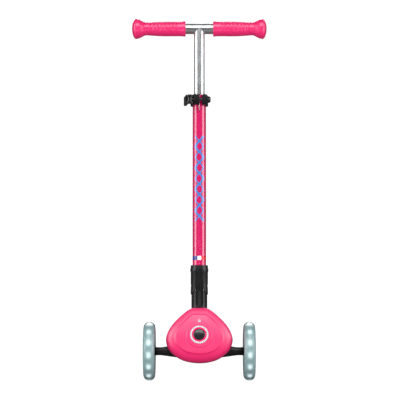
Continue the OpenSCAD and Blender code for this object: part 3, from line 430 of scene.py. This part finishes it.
def shield(flat, share):
    """The front cover's relief: less bulge above, the raised shield and the ring at the button."""
    sunk = bulge_drop * flat.y * rounded(cover_bulge, front_fullness, share)
    raised = 0.0013 * smooth(0.755, 0.700, share)
    ring_step = 0.0009 * smooth(0.0272, 0.0258, (flat - button_middle).length)
    return raised + ring_step - sunk


button_middle = Vector((0, -button_drop))
near_rim = [math.cos(math.radians(a)) for a in range(3, 27, 3)]
front_shares = near_rim + [0.885 - 0.0115 * k for k in range(48)] + [0.335]
front = dome(cover_bulge, front_fullness, front_shares, button_middle, button_hole, shield)
skirt = bmesh.ops.extrude_edge_only(front, edges=[e for e in front.edges if e.is_boundary
                                                  and e.verts[0].co.z < 0.001])["geom"]
skirt_verts = [g for g in skirt if isinstance(g, bmesh.types.BMVert)]
bmesh.ops.translate(front, vec=(0, 0, -0.004), verts=skirt_verts)
bmesh.ops.recalc_face_normals(front, faces=front.faces)
front.transform(cover_plane)


def thick(piece, wall, edge):
    """Gives a moulded skin its wall, inwards, and softens the edges of that wall."""
    solid = piece.modifiers.new("wall", "SOLIDIFY")
    solid.thickness, solid.offset = wall, -1
    soft = piece.modifiers.new("edge", "BEVEL")
    soft.width, soft.segments, soft.limit_method, soft.angle_limit = edge, 2, "ANGLE", math.radians(50)


def face_outward(bm, inside):
    """Turns an open skin so that its normals point away from a point inside it."""
    bm.faces.ensure_lookup_table()
    face = max(bm.faces, key=lambda f: f.calc_area())
    if (face.calc_center_median() - inside).dot(face.normal) <= 0:
        bmesh.ops.reverse_faces(bm, faces=bm.faces)


cover_pink = moulded("cover_pink", hot_pink, 0.5, grain=0.0005, depth=0.00002, coat_weight=0.7,
                     coat_roughness=0.4, specular_ior_level=1.0)
behind_front = cover_plane @ Vector((0, 0, -0.02))
face_outward(front, behind_front)
front_cover = put("nose_cover_front", front, "chassis", cover_pink, "pink_shell", "nose_cover")
thick(front_cover, front_wall, 0.0006)

rear_shares = [math.cos(math.radians(a)) for a in range(2, 88, 3)] + [0.02]
rear = dome(rear_depth, rear_fullness, rear_shares, Vector((0, 0)), 0, lambda flat, share: 0)
bmesh.ops.transform(rear, matrix=cover_plane @ Matrix.Translation((0, 0, -0.0042))
                    @ Matrix.Diagonal((1, 1, -1, 1)), verts=rear.verts)
bmesh.ops.recalc_face_normals(rear, faces=rear.faces)
bmesh.ops.bisect_plane(rear, geom=rear.verts[:] + rear.edges[:] + rear.faces[:], dist=0.00001,
                       plane_co=(0, 0, rear_cut_z), plane_no=(0, 0, -1), clear_outer=True)
face_outward(rear, behind_front + Vector((0, 0.03, 0.02)))


def bored(bm, place, radius, length):
    """Cuts a round hole through a skin with a cylinder standing at a place."""
    tool = bmesh.new()
    bmesh.ops.create_cone(tool, cap_ends=True, segments=96, radius1=radius, radius2=radius,
                          depth=length, matrix=place)
    both = []
    for shape in (bm, tool):
        mesh = bpy.data.meshes.new("bore")
        shape.to_mesh(mesh)
        shape.free()
        both.append(bpy.data.objects.new("bore", mesh))
        scene.collection.objects.link(both[-1])
    cut = both[0].modifiers.new("bore", "BOOLEAN")
    cut.operation, cut.object, cut.solver = "DIFFERENCE", both[1], "EXACT"
    bpy.context.view_layer.update()
    result = bmesh.new()
    result.from_mesh(both[0].evaluated_get(bpy.context.evaluated_depsgraph_get()).to_mesh())
    for shape in both:
        bpy.data.objects.remove(shape)
    return result


neck_hole_r = 0.0175
bmesh.ops.solidify(rear, geom=rear.faces[:], thickness=rear_wall)
rear = bored(rear, t_bar @ Matrix.Translation((0, 0, 0.1)), neck_hole_r, 0.2)
bmesh.ops.remove_doubles(rear, verts=rear.verts, dist=0.00001)
put("nose_cover_rear", rear, "chassis", cover_pink, "pink_shell", "rear_cover")

# ---------- steering lock ----------
# A gloss black push button in a turned bezel. The bezel's outer ring is printed pale grey with
# plain tick marks, and a small padlock sign above it says what the button does.
button_lean = 24
button_turn = math.radians(90 - button_lean)
button_frame = (cover_plane @ Matrix.Translation((0, -button_drop, cover_bulge))
                @ Matrix.Rotation(button_turn - cover_turn, 4, "X"))


def turned(profile, steps=128, closed=True):
    """A shape turned about z from points [radius, height]."""
    bm = bmesh.new()
    points = [bm.verts.new((r, 0, z)) for r, z in profile]
    ends = points[1:] + points[:1] if closed else points[1:]
    edges = [bm.edges.new(pair) for pair in zip(points, ends)]
    bmesh.ops.spin(bm, geom=points + edges, cent=(0, 0, 0), axis=(0, 0, 1), angle=2 * math.pi,
                   steps=steps, use_merge=True)
    bmesh.ops.remove_doubles(bm, verts=bm.verts, dist=0.000001)
    bmesh.ops.recalc_face_normals(bm, faces=bm.faces)
    return bm


bezel = turned([(r / 1000, z / 1000) for r, z in (
    (11.82, -21), (11.82, 1.2), (12.1, 1.7), (12.6, 1.8), (13.0, 1.5), (13.6, 0.9), (14.9, 0.9),
    (15.2, 1.2), (15.3, 1.8), (15.6, 2.0), (17.9, 2.0), (18.4, 1.8), (18.7, 1.3), (18.75, 0.6),
    (18.75, -0.6), (13.75, -0.6), (13.75, -24), (4.1, -24), (4.1, -21))])
bezel.transform(button_frame)
bezel_print = moulded("bezel_print", hot_pink, 0.35, coat_weight=0.3)
x, y, z = bezel_print.along(bezel_print.place(button_frame.translation, button_turn))
radius = (x * x + y * y) ** 0.5
tick_count = 24
tick = (y.turn(x) * tick_count).maths("COSINE") > 0.35
pale = radius > 0.0152
marks = tick * (radius > 0.0161) * (radius < 0.0177)
bezel_print.tint(pale, (0.62, 0.66, 0.68))
bezel_print.tint(pale * marks, (0.22, 0.23, 0.26))
put("lock_bezel", bezel, "chassis", bezel_print, "pale_bezel", "lock_housing")
gloss_black = moulded("gloss_black", (0.010, 0.011, 0.012), 0.2, grain=0.0009, depth=0.00001,
                      worn=0.02, coat_weight=0.5)
dress(gloss_black, "lock_button")

sign = bmesh.new()
block = bmesh.ops.create_cube(sign, size=1, matrix=Matrix.Diagonal((0.0046, 0.0036, 0.0006, 1)))["verts"]
bow = [sign.verts.new((0.0013, y, z)) for y, z in ((0, -0.0003), (0, 0.0003))]
bow += [sign.verts.new((0.0019, y, z)) for y, z in ((0, 0.0003), (0, -0.0003))]
loop = [sign.edges.new((bow[i - 1], bow[i])) for i in range(4)]
bmesh.ops.spin(sign, geom=bow + loop, cent=(0, 0, 0), axis=(0, 0, 1), angle=math.pi, steps=16)
bow_verts = [v for v in sign.verts if v not in block]
bmesh.ops.translate(sign, vec=(0, 0.0022, 0), verts=bow_verts)
bmesh.ops.recalc_face_normals(sign, faces=sign.faces)
sign_y, cover_top = 0.0245, 0.054
sign_rise = rounded(cover_bulge, front_fullness, sign_y / cover_top) * (1 - bulge_drop * sign_y)
sign.transform(cover_plane @ Matrix.Translation((0, sign_y, sign_rise + 0.0016))
               @ Matrix.Rotation(math.radians(-cover_lean), 4, "X") @ Matrix.Scale(1.25, 4))
sign_grey = moulded("sign_grey", (0.42, 0.36, 0.40), 0.4)
put("padlock_sign", sign, "chassis", sign_grey, "pale_bezel")

# ---------- front wheels ----------
# Clear grey polyurethane tyres cast on dark cores with dark hub covers. A ring of white lamps sits
# under each tyre; its glow through the tread is painted onto the tyre as emission, in soft spots.
lamp_count = 15
lamp_phase = math.radians(2)
tyre_width, front_core_r, front_r = 0.024, 0.044, 0.0605


def tyre_profile(inner, outer, width, shoulder):
    """The section of a tyre as [radius, place across it], with two fine lines in the tread."""
    crown = 0.001
    points = [(inner, -width / 2 + 0.0015), (inner + 0.0015, -width / 2)]
    for step in range(-45, 46):
        a = math.radians(step * 2)
        across = (width / 2 - crown) * math.sin(a) + crown * math.sin(a) * abs(math.sin(a))
        line = 0.0005 * math.exp(-((abs(across) - 0.0062) / 0.0005) ** 2)
        points.append((outer - shoulder + shoulder * math.cos(a) - line, across))
    return points + [(inner + 0.0015, width / 2), (inner, width / 2 - 0.0015)]


def on_axle(bm, place):
    """Turns a shape made about z to lie on a wheel's axle."""
    bm.transform(Matrix.Translation(place) @ Matrix.Rotation(math.pi / 2, 4, "Y"))
    return bm


for side in ("left", "right"):
    place = Vector(joint["spin_" + side]["pos_m"])
    tyre = Finish("lit_tyre_" + side, (0.20, 0.30, 0.31), 0.22, coat_weight=0.35, emission_strength=1.0)
    x, y, z = tyre.along(tyre.place(place))
    radius = (y * y + z * z) ** 0.5
    # Painted glow: the tyre's emission colour is a faint glow all round and bright spots over the lamps.
    lamp = ((z.turn(-y) - lamp_phase) * lamp_count).maths("COSINE") * 0.5 + 0.5
    painted_glow = lamp ** 1.5 * (1 - abs(x).fade(0.0010, 0.0085)) * radius.fade(0.048, 0.058)
    core = lamp ** 3 * (1 - abs(x).fade(0.0005, 0.0055)) * radius.fade(0.052, 0.059)
    haze = tyre.noise(0.012)
    light = tyre.mix(painted_glow.least(1), (0.01, 0.015, 0.015, 1), (0.42, 0.50, 0.51, 1))
    tyre.feed(tyre.shader.inputs["Emission Color"], tyre.mix(core.least(1), light, (0.66, 0.76, 0.79, 1)))
    # Painted highlight: the tyre's flanks are tinted lighter.
    tyre.tint(abs(x).fade(0.007, 0.012) * 0.4, (0.36, 0.45, 0.46))
    tyre.tint(haze.fade(0.35, 0.75) * 0.25, (0.20, 0.30, 0.31))
    tyre.gloss(haze.fade(0.3, 0.7) * 0.12 + 0.18)
    tyre.bump(tyre.noise(0.0009, 2), 0.00003)
    shape = on_axle(turned(tyre_profile(front_core_r, front_r, tyre_width, 0.011), 160), place)
    put("front_tyre_" + side, shape, "front_wheel_" + side, tyre, "clear_tyre", "tyre_" + side)

core = moulded("dark_core", (0.045, 0.05, 0.055), 0.38)
lamp_white = Finish("lamp_white", (0.9, 0.95, 1), 0.3, emission_strength=2.0)
lamp_white.shader.inputs["Emission Color"].default_value = (0.9, 0.97, 1, 1)
lamp_white.gloss(lamp_white.noise(0.002) * 0.2 + 0.2)
dress(core, "hub_left", "hub_right")
dress(lamp_white, "led_ring_left", "led_ring_right")
for side in ("left", "right"):
    put("hub_cover_" + side, softened("hub_cap_" + side, 0.0006), "front_wheel_" + side, core,
        "dark_hub", "hub_cap_" + side)

# ---------- rear wheel ----------
# A smaller wheel with the same clear tyre and dark core, without lamps. It runs between the
# board's fork sides on one through axle.
rear_axle = Vector(joint["spin_rear"]["pos_m"])
rear_core_r, rear_r = 0.030, 0.040
clear = Finish("clear_tyre", (0.40, 0.53, 0.53), 0.22, coat_weight=0.35)
x, y, z = clear.along(clear.place(rear_axle))
# Painted highlight: the tyre's flanks are tinted lighter.
clear.tint(abs(x).fade(0.007, 0.012) * 0.6, (0.62, 0.72, 0.72))
clear.tint(clear.noise(0.012).fade(0.35, 0.75) * 0.25, (0.30, 0.43, 0.44))
clear.gloss(clear.noise(0.02) * 0.14 + 0.18)
clear.bump(clear.noise(0.0009, 2), 0.00003)
rear_shape = on_axle(turned(tyre_profile(rear_core_r, rear_r, tyre_width, 0.008), 128), rear_axle)
put("rear_tyre_clear", rear_shape, "rear_wheel", clear, "clear_tyre", "rear_tyre")
dress(core, "rear_hub")
dress(plated, "rear_axle", "rear_bearings", "brake_pivot_pin")

# ---------- foot brake ----------
# A curved black plate hinged over the rear wheel, lifted by a spring. Ribs across it give the
# foot its grip, and a rubber block under it rubs on the tyre.
brake_black = moulded("brake_black", (0.02, 0.02, 0.022), 0.45, grain=0.0009, depth=0.00006)
x, y, z = brake_black.along(brake_black.place(rear_axle))
round_wheel = z.turn(y)
ribs_in_a_turn = 34
ribs = (round_wheel * ribs_in_a_turn).maths("COSINE").fade(0.55, 0.75)
ribs = ribs * (1 - abs(x).fade(0.0115, 0.0120)) * (round_wheel > 0.75) * (round_wheel < 1.75)
ribs = ribs * (((y * y + z * z) ** 0.5) > 0.0495)
brake_black.bump(ribs, 0.0007)
brake_black.tint(ribs * 0.3, (0.06, 0.06, 0.065))
put("brake_plate", softened("brake_fender", 0.0007), "brake", brake_black, "black_fender", "brake_fender")
dress(tread, "brake_pad")
dress(wire, "brake_spring")

# ---------- folding joint ----------
# A black nylon base bolted to the bracket, with a tongue between the cheeks of the sleeve.
# A sprung plunger inside locks it, and a button at the back draws the plunger.
put("neck_base", softened("fold_base", 0.0008), "chassis", nylon, "black_fold_parts", "fold_base")
put("folding_sleeve", softened("fold_socket", 0.0008), "stem", nylon, "black_fold_parts", "fold_socket")
dress(plated, "fold_pivot_pin", "fold_plunger")
dress(gloss_black, "fold_button")
dress(wire, "fold_spring")
dress(acetal, "plunger_seat")

# ---------- outer tube ----------
# A steel tube in gloss pink paint. A blue print of linked waves and dots runs up its front,
# and a narrow label of three upright stripes sits just above the sleeve.
tube_pink = (0.55, 0.0, 0.095)
paint = Finish("pink_paint", tube_pink, 0.3, coat_weight=1.0, coat_roughness=0.12,
               specular_ior_level=0.8)
x, y, z = paint.along(paint.place(axle, -rake))
flake = paint.noise(0.012)
paint.tint(flake.fade(0.4, 0.8) * 0.15, (0.62, 0.002, 0.11))
paint.gloss(flake * 0.08 + 0.26)
paint.bump(paint.noise(0.01, 2), 0.00001)
paint.tint(paint.noise(0.006, 6).fade(0.72, 0.78) * 0.08, (0.95, 0.45, 0.6))
print_low, print_high, print_pitch = 0.268, 0.446, 0.0445
dot_pitch = print_pitch / 2
face = (y < 0) * (z > print_low) * (z < print_high)
sway = (z - print_low).wave(print_pitch) * 0.0076
stroke = 1 - abs(x - sway).fade(0.0025, 0.0029)
swell = 1 - abs(x + sway).fade(0.0015, 0.0019)
along_cell = ((z - print_low) / dot_pitch).maths("FRACT") - 0.5
dots = 1 - ((x * x + (along_cell * dot_pitch) ** 2) ** 0.5).fade(0.0034, 0.0038)
print_mask = stroke.most(swell).most(dots) * face
paint.tint(print_mask, (0.04, 0.19, 0.55))
dress(paint, "outer_tube")

label = Finish("stripe_label", (0.85, 0.86, 0.88), 0.3, coat_weight=0.3)
x, y, z = label.along(label.place(axle, -rake))
label.tint(x < -0.0042, (0.02, 0.05, 0.25))
label.tint(x > 0.0042, (0.65, 0.01, 0.03))
label.tint(y > 0, tube_pink)
label.gloss(label.noise(0.003) * 0.1 + 0.25)
dress(label, "tricolour_band")

# ---------- height clamp ----------
# A split collar of black nylon round the top of the tube, drawn up by a bolt, a tapered nut
# and a cam lever that wraps round its side.
put("height_collar", softened("clamp_collar", 0.0009), "stem", nylon, "black_fold_parts", "clamp_collar")
put("collar_nut", softened("clamp_nut", 0.0007), "stem", nylon, "black_fold_parts", "clamp_nut")
put("cam_lever", softened("clamp_lever", 0.0009), "clamp_lever", nylon, "black_fold_parts", "clamp_lever")
dress(gloss_black, "clamp_bolt", "lever_pin")
dress(acetal, "guide_bush")

# ---------- handlebar ----------
# The inner post and the handlebar are satin anodised aluminium tubes, welded into a T. The
# post is brushed lengthwise, and the bead of the weld is dressed smooth.
satin = (0.80, 0.82, 0.83)
brushed = metal("satin_tube", satin, 0.34, 0.0016, tilt=-rake, stretch=0.03, tarnish=0.08,
                depth=0.000004)
dress(brushed, "inner_post")
cross_brushed = metal("satin_crossbar", satin, 0.34, 0.0016, tarnish=0.08, depth=0.000004)
dress(cross_brushed, "crossbar")
dress(acetal, "post_foot")

# ---------- grips ----------
# Soft hot-pink rubber sleeves with a waffle panel facing forwards, finger ridges below and a
# wide rounded flange that keeps the hands from the ends.
bar_height, bar_r, flange_r, flange_round = 0.674, 0.011, 0.0215, 0.009
bar_middle = t_bar @ Vector((0, 0, bar_height))
grip_low, grip_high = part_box("grip_right")
grip_in, grip_end = grip_low.x, grip_high.x
neck_x = grip_end - 0.031
sleeve_r = bar_r + 0.0025


def grip_radius(along):
    """The outside radius of the grip at a distance from the scooter's middle."""
    if along < neck_x:
        t = (along - grip_in) / (neck_x - grip_in)
        return sleeve_r + 0.0021 * math.sin(math.pi * t) + 0.0028 * (1 - t) ** 6
    return sleeve_r + (flange_r - sleeve_r - 0.001) * smooth(0, 1, (along - neck_x) / 0.0195)


def grip_relief(along, angle):
    """Ridges below, the waffle panel in front and its border, as a change of radius."""
    t = (along - grip_in) / (neck_x - grip_in)
    span = smooth(0.12, 0.22, t) * smooth(1.0, 0.86, t)
    ridges = 0.0011 * (0.5 + 0.5 * math.cos(2 * math.pi * along / 0.0079))
    below = smooth(0.75, 0.25, abs(angle + math.pi / 2)) * span * ridges
    high = abs(angle - math.pi)
    panel = smooth(0.62, 0.56, high) * smooth(0.10, 0.14, t) * smooth(0.97, 0.93, t)
    block_x = smooth(0.35, 0.15, abs(2 * ((along / 0.0042) % 1) - 1) - 0.45)
    block_a = smooth(0.35, 0.15, abs(2 * ((high / 0.22 + 0.5) % 1) - 1) - 0.45)
    return below + panel * (-0.0014 + 0.0013 * block_x * block_a)


ring_pitch = 0.0006
ring_count = int((grip_end - 0.010 - grip_in) / ring_pitch)
rings = [grip_in + 0.0005 + ring_pitch * k for k in range(ring_count)]
flange_turns = [math.radians(a) for a in range(0, 90, 6)]
grip_profile = [(bar_r, grip_in), (grip_radius(grip_in) - 0.0006, grip_in)]
grip_profile += [(grip_radius(along), along) for along in rings]
grip_profile += [(flange_r * math.cos(a), grip_end - flange_round + flange_round * math.sin(a))
                 for a in flange_turns]
grip_profile += [(0.00001, grip_end)]
soft_pink = moulded("soft_pink_rubber", (0.74, 0.012, 0.135), 0.36, grain=0.0005, depth=0.00002,
                    worn=0.03, coat_weight=0.4, coat_roughness=0.25, specular_ior_level=0.8)
for side in ("left", "right"):
    grip = turned(grip_profile, 144, closed=False)
    for v in grip.verts:
        around = v.co.xy.length
        if v.co.z < neck_x and around > bar_r + 0.001:
            angle = math.atan2(v.co.y, v.co.x)
            if angle <= -math.pi / 2 - 1:
                angle += 2 * math.pi
            v.co.xy *= 1 + grip_relief(v.co.z, angle) / around
    bmesh.ops.rotate(grip, cent=(0, 0, 0), matrix=Matrix.Rotation(math.pi / 2, 3, "Y"), verts=grip.verts)
    grip.transform(Matrix.Translation((0, bar_middle.y, bar_middle.z)))
    if side == "left":
        bmesh.ops.scale(grip, vec=(-1, 1, 1), verts=grip.verts)
        bmesh.ops.reverse_faces(grip, faces=grip.faces)
    put("grip_sleeve_" + side, grip, "handlebar", soft_pink, "pink_grip", "grip_" + side, crease=40)
